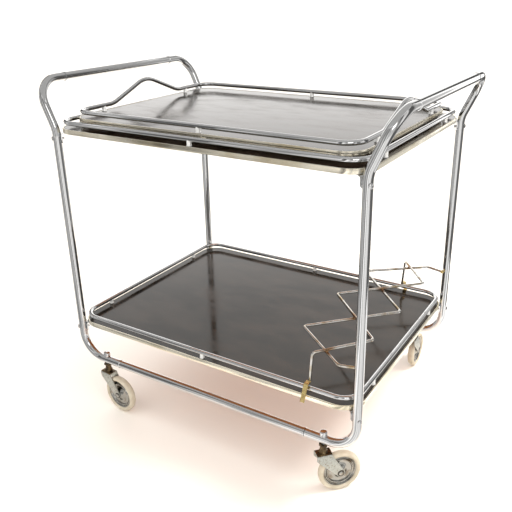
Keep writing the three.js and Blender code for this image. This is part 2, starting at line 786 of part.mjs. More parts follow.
function fixings() {
  const group = new THREE.Group();
  const tiers = [
    ["lower", LOWER_SHELF_TOP],
    ["top", TOP_SHELF_TOP],
  ];
  tiers.forEach(([tier, top]) => {
    CORNERS.forEach(([corner, signX, signY]) => {
      group.add(
        namedMesh(`bracket_${tier}_${corner}`, bracket(signX, signY, top), chrome()),
        namedMesh(`screw_${tier}_${corner}`, screw(signX, signY, screwHeight(top)), chrome()),
      );
    });
  });
  return group;
}

function tray() {
  const group = new THREE.Group();
  const edge = edgeStrip(TRAY_HALF_X, TRAY_HALF_Y, TRAY_CORNER, TRAY_TOP);
  group.add(
    namedMesh("tray_board", trayBoard(), blackLaminate()),
    namedMesh("tray_edge_strip", edge, paleGold()),
    namedMesh("tray_gallery", trayGallery(), chrome()),
  );
  return group;
}

function bottleRack() {
  const group = new THREE.Group();
  group.add(
    namedMesh("rack_wire_legged", leggedWire(), chrome()),
    namedMesh("rack_wire_armed", armedWire(), chrome()),
    namedMesh("rack_clip_front", railClip(-1), brass()),
    namedMesh("rack_clip_back", railClip(1), brass()),
  );
  return group;
}

// Sets the origin on the floor under the middle of the footprint, turned casters included.
function centreFootprint(group) {
  const middle = new THREE.Box3().setFromObject(group, true).getCenter(vec(0, 0, 0));
  group.position.set(-middle.x, -middle.y, 0);
}

const trolley = new THREE.Group();
trolley.add(frame(), shelf("lower_shelf", LOWER_SHELF_TOP), shelf("top_shelf", TOP_SHELF_TOP));
trolley.add(fixings(), tray(), bottleRack());
CORNERS.forEach(([corner, signX, signY]) => trolley.add(caster(corner, signX, signY)));
centreFootprint(trolley);

export default trolley;
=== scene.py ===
"""Looks of the two-tier serving trolley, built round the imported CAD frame. Metres, +Z up, -Y is the front."""
import json
import math

import bmesh
import bpy
from mathutils import Matrix, Vector


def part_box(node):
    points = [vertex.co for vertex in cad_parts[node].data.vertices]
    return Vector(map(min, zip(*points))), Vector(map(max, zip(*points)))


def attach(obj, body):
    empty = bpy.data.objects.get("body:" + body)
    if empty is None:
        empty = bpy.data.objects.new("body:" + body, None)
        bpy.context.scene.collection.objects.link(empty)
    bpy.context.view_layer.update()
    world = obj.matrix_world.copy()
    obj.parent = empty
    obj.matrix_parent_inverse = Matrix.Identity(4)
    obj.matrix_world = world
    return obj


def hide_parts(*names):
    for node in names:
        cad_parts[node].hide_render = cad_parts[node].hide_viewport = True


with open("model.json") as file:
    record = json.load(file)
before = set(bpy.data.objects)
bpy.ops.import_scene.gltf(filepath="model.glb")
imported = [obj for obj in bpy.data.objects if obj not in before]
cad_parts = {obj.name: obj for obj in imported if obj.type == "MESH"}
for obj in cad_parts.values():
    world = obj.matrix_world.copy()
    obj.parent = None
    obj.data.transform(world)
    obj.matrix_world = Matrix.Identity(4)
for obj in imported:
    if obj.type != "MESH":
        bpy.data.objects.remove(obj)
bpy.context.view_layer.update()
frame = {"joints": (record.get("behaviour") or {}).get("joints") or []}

CORNERS = {"front_left": (-1, -1), "front_right": (1, -1), "back_left": (-1, 1), "back_right": (1, 1)}

# -------- places taken from the frame


def centre(node):
    low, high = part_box(node)
    return (low + high) / 2


def top_of(node):
    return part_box(node)[1].z


def bottom_of(node):
    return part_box(node)[0].z


# Clearance between touching pieces.
GAP = 0.0003
SHELF_LOW, SHELF_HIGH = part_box("lower_shelf_edge_strip")
TRAY_LOW, TRAY_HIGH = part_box("tray_edge_strip")
MIDDLE_Y = (SHELF_LOW.y + SHELF_HIGH.y) / 2
BOARD_HALF_X = (SHELF_HIGH.x - SHELF_LOW.x) / 2
BOARD_HALF_Y = (SHELF_HIGH.y - SHELF_LOW.y) / 2
TRAY_HALF_X = (TRAY_HIGH.x - TRAY_LOW.x) / 2
TRAY_HALF_Y = (TRAY_HIGH.y - TRAY_LOW.y) / 2
LOWER_TOP = top_of("lower_shelf_edge_strip")
UPPER_TOP = top_of("top_shelf_edge_strip")
TRAY_TOP = top_of("tray_edge_strip")
RAIL_Z = centre("lower_rail_front").z
UPRIGHT_Y = centre("lower_rail_back").y - MIDDLE_Y
HANDLE_X = centre("handle_bar_right").x
HANDLE_Z = centre("handle_bar_right").z
WHEEL_Z = centre("caster_wheel_front_right").z
LOWER_JOINT_X = -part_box("leg_tube_back_left")[1].x
HANDLE_JOINT_Y = MIDDLE_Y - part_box("leg_tube_front_right")[1].y
PIVOTS = {joint["child"]: Vector(joint["pos_m"]) for joint in frame["joints"] if joint["type"] == "hinge"}
TRAIL = (PIVOTS["caster_roller_front_left"] - PIVOTS["caster_swivel_front_left"]).length

# -------- sizes that the frame's boxes don't give

TUBE_R = 0.008
UPRIGHT_X = 0.316
LOWER_BEND_R = 0.051
LEAN = math.radians(24)
LEAN_BEND_R = 0.057
HANDLE_BEND_R = 0.048
RING_WIDTH = 0.004
RING_RISE = 0.0008
BOARD_CORNER = 0.043
TRAY_CORNER = 0.040
BOARD_DEPTH = 0.009
LAMINATE_DEPTH = 0.0084
EDGE_WALL = 0.002
RAIL_R = 0.00425
RAIL_RISE = 0.0107
RAIL_INSET = 0.0075
POST_R = 0.0047
SHELF_POST_Y = 0.147
TRAY_POST_Y = 0.128
GRIP_FOOT_Y = 0.100
GRIP_RISE = 0.0394
GRIP_FOOT_R = 0.060
GRIP_APEX_R = 0.066
TRAY_FOOT_R = 0.009
TRAY_FOOT_INSET = 0.052
BRACKET_PLATE = 0.002
BRACKET_HALF_WIDTH = 0.008
BRACKET_DROP = 0.021
BRACKET_REACH = 0.042
BRACKET_BEND_R = 0.004
STRAP_ROUND = 0.0003
SCREW_DROP = 0.012
SCREW_HEAD_R = 0.0044
SCREW_HEAD_RISE = 0.0026
SCREW_SHANK_R = 0.002
SCREW_TIP = 0.0006
SCREW_TAIL = 0.003
SLOT_HALF = 0.00045
SLOT_WALL = 0.00005
SLOT_DEPTH = 0.0011
WIRE_R = 0.0025
WHEEL_R = WHEEL_Z

# Facets
BEND_STEP = math.radians(4.5)
TUBE_SIDES = 40
RAIL_SIDES = 24
WIRE_SIDES = 16
TURNED = 64
WHEEL_TURNED = 96
SMALL_TURNED = 32
CORNER_STEPS = 16
SHARP_ANGLE = math.radians(32)
BEVEL_ANGLE = math.radians(40)
BEVEL_STEPS = 3

# -------- materials


class Shader:
    """A node tree round one Principled shader, with short calls for the textures that materials share."""

    def __init__(self, name, **constants):
        self.material = bpy.data.materials.new(name)
        self.material.use_nodes = True
        self.nodes = self.material.node_tree.nodes
        self.links = self.material.node_tree.links
        self.bsdf = self.nodes["Principled BSDF"]
        self.object_space = self.node("TexCoord").outputs["Object"]
        self.set_inputs(self.bsdf, constants)

    def set_inputs(self, node, values):
        for socket, value in values.items():
            node.inputs[socket.replace("_", " ")].default_value = value

    def node(self, kind, **values):
        node = self.nodes.new(f"ShaderNode{kind}")
        self.set_inputs(node, values)
        return node

    def stretched(self, scale):
        mapping = self.node("Mapping", Scale=scale)
        self.links.new(self.object_space, mapping.inputs["Vector"])
        return mapping.outputs["Vector"]

    def noise(self, scale, detail=4.0, stretch=None):
        node = self.node("TexNoise", Scale=scale, Detail=detail)
        source = self.stretched(stretch) if stretch else self.object_space
        self.links.new(source, node.inputs["Vector"])
        return node.outputs["Fac"]

    def line_noise(self, value, scale):
        """Noise that varies with one number only."""
        node = self.node("TexNoise", Scale=scale)
        node.noise_dimensions = "1D"
        self.links.new(value, node.inputs["W"])
        return node.outputs["Fac"]

    def calculate(self, operation, first, second):
        node = self.node("Math")
        node.operation = operation
        self.links.new(first, node.inputs[0])
        self.links.new(second, node.inputs[1])
        return node.outputs[0]

    def cells(self, scale):
        node = self.node("TexVoronoi", Scale=scale)
        self.links.new(self.object_space, node.inputs["Vector"])
        return node.outputs["Color"]

    def remap(self, value, low, high, to_low=0.0, to_high=1.0):
        node = self.node("MapRange", From_Min=low, From_Max=high, To_Min=to_low, To_Max=to_high)
        self.links.new(value, node.inputs["Value"])
        return node.outputs["Result"]

    def blend(self, factor, first, second):
        node = self.node("Mix")
        node.data_type = "RGBA"
        self.links.new(factor, node.inputs["Factor"])
        for socket, colour in (("A", first), ("B", second)):
            target = next(i for i in node.inputs if i.name == socket and i.type == "RGBA")
            if isinstance(colour, tuple):
                target.default_value = (*colour, 1.0)
            else:
                self.links.new(colour, target)
        return next(o for o in node.outputs if o.type == "RGBA")

    def colour(self, factor, first, second):
        self.links.new(self.blend(factor, first, second), self.bsdf.inputs["Base Color"])

    def roughness(self, value, low, high, to_low, to_high):
        self.links.new(self.remap(value, low, high, to_low, to_high), self.bsdf.inputs["Roughness"])

    def bump(self, height, distance, strength=0.5):
        node = self.node("Bump", Distance=distance, Strength=strength)
        self.links.new(height, node.inputs["Height"])
        self.links.new(node.outputs["Normal"], self.bsdf.inputs["Normal"])

    def attribute(self, name):
        node = self.node("Attribute")
        node.attribute_name = name
        return node.outputs["Fac"]


def chrome_material():
    shader = Shader("chrome_plate", Metallic=1.0)
    bright, pit = (0.69, 0.695, 0.70), (0.38, 0.30, 0.22)
    specks = shader.remap(shader.noise(900, 2), 0.70, 0.76)
    shader.colour(specks, bright, pit)
    shader.roughness(shader.noise(55), 0.3, 0.8, 0.03, 0.11)
    shader.bump(shader.noise(160, 3), 0.00003)
    return shader.material


def satin_nickel_material():
    """Pale dull plating of the gallery posts."""
    shader = Shader("satin_nickel", Metallic=0.5)
    shader.colour(shader.noise(260), (0.86, 0.86, 0.84), (0.95, 0.94, 0.92))
    shader.roughness(shader.noise(400), 0.3, 0.7, 0.30, 0.42)
    shader.bump(shader.noise(900, 2), 0.00003)
    return shader.material


def brazed_chrome_material():
    """Chromed wire whose plating is coppery where the braze attribute says it was joined."""
    shader = Shader("chrome_wire", Metallic=1.0)
    stained = shader.remap(shader.noise(40, 4), 0.46, 0.66)
    plain = shader.blend(stained, (0.74, 0.73, 0.70), (0.50, 0.40, 0.26))
    copper = shader.blend(shader.noise(500), (0.26, 0.14, 0.06), (0.42, 0.25, 0.12))
    shader.colour(shader.attribute("braze"), plain, copper)
    shader.roughness(shader.noise(120), 0.3, 0.8, 0.10, 0.26)
    shader.bump(shader.noise(420, 3), 0.00005)
    return shader.material


def laminate_material():
    shader = Shader("black_laminate", IOR=1.5)
    clouds = shader.noise(13, 6, stretch=(1.0, 2.2, 1.0))
    haze = shader.remap(clouds, 0.36, 0.66)
    shader.colour(haze, (0.012, 0.009, 0.006), (0.031, 0.0225, 0.016))
    shader.roughness(clouds, 0.3, 0.75, 0.06, 0.24)
    shader.bump(shader.noise(34, 5, stretch=(1.0, 3.0, 1.0)), 0.00012, 0.25)
    return shader.material


def hardboard_material():
    shader = Shader("hardboard", Specular_IOR_Level=0.3)
    fibre = shader.noise(300, 6, stretch=(1.0, 0.35, 1.0))
    shader.colour(fibre, (0.24, 0.085, 0.025), (0.42, 0.175, 0.060))
    shader.roughness(fibre, 0.2, 0.8, 0.55, 0.8)
    shader.bump(fibre, 0.0002)
    return shader.material


def edge_metal_material():
    shader = Shader("pale_gold_edge", Metallic=1.0)
    worn = shader.remap(shader.noise(11, 4), 0.50, 0.68)
    shader.colour(worn, (0.93, 0.87, 0.72), (0.76, 0.67, 0.48))
    shader.roughness(shader.noise(30, 3), 0.3, 0.7, 0.13, 0.26)
    shader.bump(shader.noise(60, 2), 0.00003, 0.3)
    return shader.material


def zinc_material():
    """Coarse aged zinc of the fork arms."""
    shader = Shader("aged_zinc", Metallic=0.9)
    mottled = shader.blend(shader.cells(700), (0.35, 0.36, 0.33), (0.53, 0.54, 0.50))
    grime = shader.remap(shader.noise(260, 5), 0.56, 0.70)
    shader.colour(grime, mottled, (0.24, 0.20, 0.15))
    shader.roughness(shader.noise(300), 0.3, 0.75, 0.26, 0.46)
    shader.bump(shader.noise(700, 3), 0.00012)
    return shader.material


def pressed_zinc_material():
    """Smoother plating of the wheel discs and axle heads, dirty in broad patches."""
    shader = Shader("pressed_zinc", Metallic=1.0)
    grime = shader.remap(shader.noise(70, 5), 0.50, 0.72)
    shader.colour(grime, (0.37, 0.365, 0.34), (0.17, 0.13, 0.085))
    shader.roughness(shader.noise(110), 0.3, 0.75, 0.13, 0.28)
    shader.bump(shader.noise(240, 3), 0.00006)
    return shader.material


def bronze_material():
    shader = Shader("dark_bronze", Metallic=0.85)
    rubbed = shader.remap(shader.noise(90, 3), 0.40, 0.75)
    shader.colour(rubbed, (0.065, 0.045, 0.026), (0.27, 0.19, 0.095))
    shader.roughness(shader.noise(160), 0.3, 0.7, 0.20, 0.38)
    shader.bump(shader.noise(500, 2), 0.00004)
    return shader.material


def washer_groove_shade_material():
    """Near-black colour of the axle washers: painted shade of the groove round each axle head."""
    shader = Shader("washer_groove_shade", Metallic=0.6)
    shader.colour(shader.noise(400), (0.035, 0.030, 0.026), (0.11, 0.09, 0.07))
    shader.roughness(shader.noise(300), 0.3, 0.7, 0.35, 0.55)
    shader.bump(shader.noise(900, 2), 0.00004)
    return shader.material


def brass_material():
    shader = Shader("worn_brass", Metallic=1.0)
    tarnish = shader.remap(shader.noise(330, 4), 0.46, 0.70)
    shader.colour(tarnish, (0.86, 0.68, 0.30), (0.50, 0.34, 0.13))
    shader.roughness(shader.noise(400), 0.3, 0.7, 0.2, 0.42)
    shader.bump(shader.noise(900, 2), 0.00005)
    return shader.material


def rubber_material():
    shader = Shader("cream_rubber", Specular_IOR_Level=0.35)
    aged = shader.remap(shader.noise(70, 5), 0.35, 0.72)
    cream = shader.blend(aged, (0.58, 0.52, 0.41), (0.46, 0.39, 0.29))
    scuffs = shader.remap(shader.noise(420, 3), 0.68, 0.76)
    shader.colour(scuffs, cream, (0.40, 0.32, 0.22))
    shader.roughness(shader.noise(90), 0.3, 0.7, 0.5, 0.72)
    shader.bump(shader.noise(800, 3), 0.00012)
    return shader.material


def floor_material():
    shader = Shader("pale_floor", Specular_IOR_Level=0.25)
    shader.colour(shader.noise(2.2, 3), (0.93, 0.87, 0.795), (0.95, 0.90, 0.84))
    shader.roughness(shader.noise(14), 0.3, 0.7, 0.45, 0.6)
    return shader.material


CHROME = chrome_material()
CHROME_WIRE = brazed_chrome_material()
LAMINATE = laminate_material()
HARDBOARD = hardboard_material()
EDGE_METAL = edge_metal_material()
NICKEL = satin_nickel_material()
ZINC = zinc_material()
PRESSED_ZINC = pressed_zinc_material()
BRONZE = bronze_material()
# Painted shade of the groove round each axle head, given to the washers.
WASHER_GROOVE_SHADE = washer_groove_shade_material()
BRASS = brass_material()
RUBBER = rubber_material()

# -------- meshes


class Solid:
    """Vertices, faces and a material number for each face, gathered before they become one object."""

    def __init__(self):
        self.vertices = []
        self.faces = []
        self.numbers = []

    def add(self, vertices, faces, number=0):
        start = len(self.vertices)
        self.vertices += [Vector(v) for v in vertices]
        self.faces += [tuple(start + i for i in face) for face in faces]
        self.numbers += [number] * len(faces)

    def join(self, other, matrix=None, number=None):
        moved = [matrix @ v for v in other.vertices] if matrix else other.vertices
        start = len(self.vertices)
        self.vertices += moved
        self.faces += [tuple(start + i for i in face) for face in other.faces]
        self.numbers += other.numbers if number is None else [number] * len(other.faces)

    def moved(self, matrix):
        result = Solid()
        result.join(self, matrix)
        return result


def make_piece(name, solid, materials, body, nodes=(), bevel=0.0):
    mesh = bpy.data.meshes.new(name)
    mesh.from_pydata([tuple(v) for v in solid.vertices], [], solid.faces)
    for material in materials:
        mesh.materials.append(material)
    for polygon, number in zip(mesh.polygons, solid.numbers):
        polygon.material_index = number
    form = bmesh.new()
    form.from_mesh(mesh)
    bmesh.ops.recalc_face_normals(form, faces=form.faces)
    form.to_mesh(mesh)
    form.free()
    mesh.shade_smooth()
    mesh.set_sharp_from_angle(angle=SHARP_ANGLE)
    piece = bpy.data.objects.new(name, mesh)
    bpy.context.scene.collection.objects.link(piece)
    if bevel:
        rounding = piece.modifiers.new("rounding", "BEVEL")
        rounding.width = bevel
        rounding.segments = BEVEL_STEPS
        rounding.limit_method = "ANGLE"
        rounding.angle_limit = BEVEL_ANGLE
        rounding.harden_normals = True
    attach(piece, body)
    if nodes:
        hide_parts(*nodes)
    return piece


def rings_to_solid(rings, closed_rings=False, number=0):
    """Joins equal rings of points in order, and caps the two ends unless the last ring meets the first."""
    solid = Solid()
    sides = len(rings[0])
    count = len(rings)
    faces = []
    for ring in range(count if closed_rings else count - 1):
        after = (ring + 1) % count
        for side in range(sides):
            beside = (side + 1) % sides
            lower, upper = ring * sides, after * sides
            faces.append((lower + side, lower + beside, upper + beside, upper + side))
    if not closed_rings:
        faces.append(tuple(range(sides)))
        faces.append(tuple((count - 1) * sides + side for side in reversed(range(sides))))
    solid.add([point for ring in rings for point in ring], faces, number)
    return solid


def fillet_route(corners, closed=False):
    """Points and headings along a polyline whose corners, each (point, radius), are rounded."""
    stations = []
    count = len(corners)
    for index, (point, radius) in enumerate(corners):
        before, after = corners[index - 1][0], corners[(index + 1) % count][0]
        inward, outward = (point - before).normalized(), (after - point).normalized()
        if not closed and index == 0:
            stations.append((point, outward))
        elif not closed and index == count - 1:
            stations.append((point, inward))
        else:
            stations += corner_stations(point, radius, inward, outward)
    return stations


def corner_stations(point, radius, inward, outward):
    turn = inward.angle(outward)
    steps = max(3, math.ceil(turn / BEND_STEP))
    side = (outward - inward * outward.dot(inward)).normalized()
    middle = point - inward * radius * math.tan(turn / 2) + side * radius
    stations = []
    for step in range(steps + 1):
        angle = turn * step / steps
        spot = middle - side * radius * math.cos(angle) + inward * radius * math.sin(angle)
        stations.append((spot, inward * math.cos(angle) + side * math.sin(angle)))
    return stations


def carried_normals(stations):
    """One normal for each station, carried along the route without twist."""
    heading = stations[0][1]
    normal = heading.orthogonal().normalized()
    normals = []
    for _, after in stations:
        normal = heading.rotation_difference(after) @ normal
        normals.append(normal.copy())
        heading = after
    return normals


def rod(stations, radius, sides, closed=False):
    """A round rod along the stations. On a closed route the leftover twist is spread over its length."""
    normals = carried_normals(stations)
    twist = 0.0
    if closed:
        heading = stations[0][1]
        last = stations[-1][1].rotation_difference(heading) @ normals[-1]
        twist = math.atan2(heading.dot(last.cross(normals[0])), last.dot(normals[0]))
    rings = []
    for index, ((point, heading), normal) in enumerate(zip(stations, normals)):
        across = heading.cross(normal)
        lead = twist * index / len(stations)
        angles = [lead + 2 * math.pi * side / sides for side in range(sides)]
        rings.append([point + radius * (normal * math.cos(a) + across * math.sin(a)) for a in angles])
    return rings_to_solid(rings, closed)


def turned(profile, segments=TURNED, number=0):
    """Turns (radius, height) points about Z. The profile runs from axis to axis, or closes on itself."""
    on_axis = profile[0][0] == 0.0
    body = profile[1:-1] if on_axis else profile
    angles = [2 * math.pi * step / segments for step in range(segments)]
    rings = [[Vector((r * math.cos(a), r * math.sin(a), z)) for a in angles] for r, z in body]
    return rings_to_solid(rings, closed_rings=not on_axis, number=number)


def rounded_rectangle(half_x, half_y, corner, z):
    points = []
    for quadrant, (sign_x, sign_y) in enumerate(((1, 1), (-1, 1), (-1, -1), (1, -1))):
        for step in range(CORNER_STEPS + 1):
            angle = math.pi / 2 * (quadrant + step / CORNER_STEPS)
            x = sign_x * (half_x - corner) + corner * math.cos(angle)
            y = sign_y * (half_y - corner) + corner * math.sin(angle)
            points.append(Vector((x, MIDDLE_Y + y, z)))
    return points


def arc(middle_r, middle_z, radius, start, end, steps):
    """(radius, height) points of a circular arc in a profile, angles in degrees."""
    angles = [math.radians(start + (end - start) * step / steps) for step in range(steps + 1)]
    return [(middle_r + radius * math.cos(a), middle_z + radius * math.sin(a)) for a in angles]


def slab(outline, low, high):
    """A flat plate with the given (x, y) outline."""
    return rings_to_solid([[Vector((x, y, z)) for x, y in outline] for z in (low, high)])


# -------- frame


def leg_route(sign_x, sign_y):
    lean_height = (HANDLE_X - UPRIGHT_X) / math.tan(LEAN)
    corners = [
        ((LOWER_JOINT_X, UPRIGHT_Y, RAIL_Z), 0),
        ((UPRIGHT_X, UPRIGHT_Y, RAIL_Z), LOWER_BEND_R),
        ((UPRIGHT_X, UPRIGHT_Y, HANDLE_Z - lean_height), LEAN_BEND_R),
        ((HANDLE_X, UPRIGHT_Y, HANDLE_Z), HANDLE_BEND_R),
        ((HANDLE_X, HANDLE_JOINT_Y, HANDLE_Z), 0),
    ]
    return fillet_route(
        [(Vector((sign_x * x, MIDDLE_Y + sign_y * y, z)), radius) for (x, y, z), radius in corners]
    )


def make_leg(corner):
    solid = rod(leg_route(*CORNERS[corner]), TUBE_R, TUBE_SIDES)
    node = f"leg_tube_{corner}"
    make_piece(f"{node}_tube", solid, [CHROME], "frame", [node])


def ringed_tube(half_length):
    """A straight tube along Z with a proud ring and a fine groove at each end, turned as one profile."""
    groove, proud = TUBE_R - 2 * RING_RISE, TUBE_R + RING_RISE
    end = [(groove, half_length), (TUBE_R - RING_RISE, half_length - RING_RISE / 2)]
    end += [(proud, half_length - RING_RISE), (proud, half_length - RING_WIDTH)]
    end += [(TUBE_R, half_length - RING_WIDTH - RING_RISE)]
    lower = [(r, -z) for r, z in end]
    return turned([(0.0, -half_length), *lower, *reversed(end), (0.0, half_length)])


def make_straight_tubes():
    runs = [(f"lower_rail_{side}", LOWER_JOINT_X, "Y") for side in ("front", "back")]
    runs += [(f"handle_bar_{side}", HANDLE_JOINT_Y, "X") for side in ("left", "right")]
    for node, half_length, axis in runs:
        place = Matrix.Translation(centre(node)) @ Matrix.Rotation(math.pi / 2, 4, axis)
        solid = ringed_tube(half_length).moved(place)
        make_piece(f"{node}_tube", solid, [CHROME], "frame", [node])


# -------- shelves and tray


def board_solid(half_x, half_y, corner, top):
    """The laminate slab: a softened top edge, laminate above and on the sides, hardboard below."""
    wide = half_x - EDGE_WALL - GAP
    deep = half_y - EDGE_WALL - GAP
    corner -= EDGE_WALL + GAP
    surface, soft = top - GAP, 0.0006
    levels = ((soft, 0.0), (0.0, soft), (0.0, LAMINATE_DEPTH))
    rings = [rounded_rectangle(wide - inset, deep - inset, corner, surface - drop) for inset, drop in levels]
    solid = rings_to_solid(rings)
    solid.numbers[-1] = 1
    return solid


def edge_solid(half_x, half_y, corner, top):
    """The metal strip round a board: softly crowned outside, with a thin bead over the laminate."""
    bottom, soft = top - BOARD_DEPTH, 0.0009
    section = [(-EDGE_WALL, bottom), (-soft, bottom), (-soft / 3, bottom + soft / 2)]
    section += [(0.0, bottom + 1.6 * soft), (0.0, top - 1.8 * soft), (-soft / 3, top - soft / 2)]
    section += [(-soft, top), (-EDGE_WALL, top - GAP / 2)]
    rings = [rounded_rectangle(half_x + r, half_y + r, corner + r, z) for r, z in section]
    return rings_to_solid(rings, closed_rings=True)


def post_solid(x, y, board_top):
    """A short turned post with a flared foot, reaching up into the rail."""
    foot, flare = 0.0006, 0.0015
    neck, tip = POST_R - 0.0005, POST_R - 0.0009
    top = board_top + RAIL_RISE
    profile = [(0.0, board_top), (POST_R, board_top), (POST_R, board_top + foot)]
    profile += [(neck, board_top + flare), (neck, top - flare), (tip, top), (0.0, top)]
    return turned(profile, SMALL_TURNED, number=1).moved(Matrix.Translation((x, MIDDLE_Y + y, 0.0)))


def gallery_solid(corners, half_x, half_y, end_post_y, board_top):
    solid = rod(fillet_route(corners, closed=True), RAIL_R, RAIL_SIDES, closed=True)
    places = [(0.0, sign * half_y) for sign in (-1, 1)]
    places += [(side * half_x, sign * end_post_y) for side in (-1, 1) for sign in (-1, 1)]
    for x, y in places:
        solid.join(post_solid(x, y, board_top))
    return solid


def shelf_rail_corners(half_x, half_y, radius, z):
    signs = ((1, 1), (-1, 1), (-1, -1), (1, -1))
    return [(Vector((sx * half_x, MIDDLE_Y + sy * half_y, z)), radius) for sx, sy in signs]


def grip_corners(x, direction, z):
    """The raised hand grip across one end of the tray, as foot, apex and foot."""
    foot_y = direction * GRIP_FOOT_Y
    return [
        (Vector((x, MIDDLE_Y - foot_y, z)), GRIP_FOOT_R),
        (Vector((x, MIDDLE_Y, z + GRIP_RISE)), GRIP_APEX_R),
        (Vector((x, MIDDLE_Y + foot_y, z)), GRIP_FOOT_R),
    ]


def make_deck(prefix, body, board, finishes, edge, gallery):
    """The three pieces that both shelves and the tray have."""
    make_piece(f"{prefix}_laminate", board, finishes, body, [f"{prefix}_board"])
    make_piece(f"{prefix}_edging", edge, [EDGE_METAL], body, [f"{prefix}_edge_strip"])
    make_piece(f"{prefix}_rail", gallery, [CHROME, NICKEL], body, [f"{prefix}_gallery"])


def make_shelf(prefix, top):
    board = board_solid(BOARD_HALF_X, BOARD_HALF_Y, BOARD_CORNER, top)
    edge = edge_solid(BOARD_HALF_X, BOARD_HALF_Y, BOARD_CORNER, top)
    half_x, half_y = BOARD_HALF_X - RAIL_INSET, BOARD_HALF_Y - RAIL_INSET
    corners = shelf_rail_corners(half_x, half_y, BOARD_CORNER - RAIL_INSET, top + RAIL_RISE)
    gallery = gallery_solid(corners, half_x, half_y, SHELF_POST_Y, top)
    make_deck(prefix, "frame", board, [LAMINATE, HARDBOARD], edge, gallery)


def tray_foot(x, y):
    """A round pad under the tray with softened rims."""
    bottom, top, soft = bottom_of("tray_board"), TRAY_TOP - LAMINATE_DEPTH, 0.0008
    profile = [(0.0, bottom), (TRAY_FOOT_R - soft, bottom), (TRAY_FOOT_R, bottom + soft)]
    profile += [(TRAY_FOOT_R, top), (0.0, top)]
    return turned(profile, SMALL_TURNED, number=2).moved(Matrix.Translation((x, MIDDLE_Y + y, 0.0)))


def make_tray():
    board = board_solid(TRAY_HALF_X, TRAY_HALF_Y, TRAY_CORNER, TRAY_TOP)
    foot_x, foot_y = TRAY_HALF_X - TRAY_FOOT_INSET, TRAY_HALF_Y - TRAY_FOOT_INSET
    for sign_x, sign_y in CORNERS.values():
        board.join(tray_foot(sign_x * foot_x, sign_y * foot_y))
    edge = edge_solid(TRAY_HALF_X, TRAY_HALF_Y, TRAY_CORNER, TRAY_TOP)
    half_x, half_y = TRAY_HALF_X - RAIL_INSET, TRAY_HALF_Y - RAIL_INSET
    z = TRAY_TOP + RAIL_RISE
    plain = shelf_rail_corners(half_x, half_y, TRAY_CORNER - RAIL_INSET, z)
    corners = [*plain[:2], *grip_corners(-half_x, -1, z), *plain[2:], *grip_corners(half_x, 1, z)]
    gallery = gallery_solid(corners, half_x, half_y, TRAY_POST_Y, TRAY_TOP)
    make_deck("tray", "tray", board, [LAMINATE, HARDBOARD, RUBBER], edge, gallery)


# -------- brackets and screws


def corner_heading(sign_x, sign_y):
    reach_x = UPRIGHT_X - (BOARD_HALF_X - BOARD_CORNER)
    reach_y = UPRIGHT_Y - (BOARD_HALF_Y - BOARD_CORNER)
    return math.atan2(sign_y * reach_y, sign_x * reach_x)


def corner_place(corner, height):
    """Turns local +X out of the shelf corner and puts the origin on the upright's axis."""
    sign_x, sign_y = CORNERS[corner]
    spot = Vector((sign_x * UPRIGHT_X, MIDDLE_Y + sign_y * UPRIGHT_Y, height))
    return Matrix.Translation(spot) @ Matrix.Rotation(corner_heading(sign_x, sign_y), 4, "Z")


def bracket_solid():
    """A bent strap: its foot lies under the board, its tab hangs down the tube. Both ends are round."""
    near = -(TUBE_R + GAP)
    half, width, bend = BRACKET_PLATE / 2, BRACKET_HALF_WIDTH, BRACKET_BEND_R
    foot = (near - BRACKET_REACH + width, -half)
    tab = (near - half, -BRACKET_DROP + width)
    route = [foot, *arc(near - half - bend, -half - bend, bend, 90, 0, 8), tab]
    headings = [Vector((b[0] - a[0], b[1] - a[1])).normalized() for a, b in zip(route, route[1:])]
    headings.append(headings[-1])
    rings = []
    for (x, z), heading in zip(route, headings):
        side = Vector((-heading.y, heading.x)) * half
        edges = ((1, -width), (1, width), (-1, width), (-1, -width))
        rings.append([Vector((x + face * side.x, y, z + face * side.y)) for face, y in edges])
    solid = rings_to_solid(rings)
    round_end = slab(arc(0.0, 0.0, width, 0, 180, 20), -half, half)
    downward = Matrix.Rotation(math.pi / 2, 4, "Y") @ Matrix.Rotation(-math.pi / 2, 4, "Z")
    solid.join(round_end, Matrix.Translation((tab[0], 0.0, tab[1])) @ downward)
    inward = Matrix.Rotation(math.pi / 2, 4, "Z")
    solid.join(round_end, Matrix.Translation((foot[0], 0.0, foot[1])) @ inward)
    return solid


def dome_height(x, y):
    """Height of the screw's dome over a point, lowered in its slot."""
    reach = min(1.0, math.hypot(x, y) / SCREW_HEAD_R)
    height = SCREW_HEAD_RISE * math.sqrt(max(0.0, 1.0 - 0.92 * reach * reach))
    return min(height, SCREW_HEAD_RISE - SLOT_DEPTH) if abs(y) < SLOT_HALF else height


def screw_rows():
    """Where rows of points cross the screw's head. Two lie close together at each wall of its slot."""
    walls = (SLOT_HALF - SLOT_WALL, SLOT_HALF + SLOT_WALL)
    across = [SCREW_HEAD_R * math.sin(math.radians(angle)) for angle in range(-88, 89, 8)]
    rows = [y for y in across if abs(y) > walls[1] + 2 * SLOT_WALL]
    return sorted([*rows, *walls, *(-y for y in walls)])


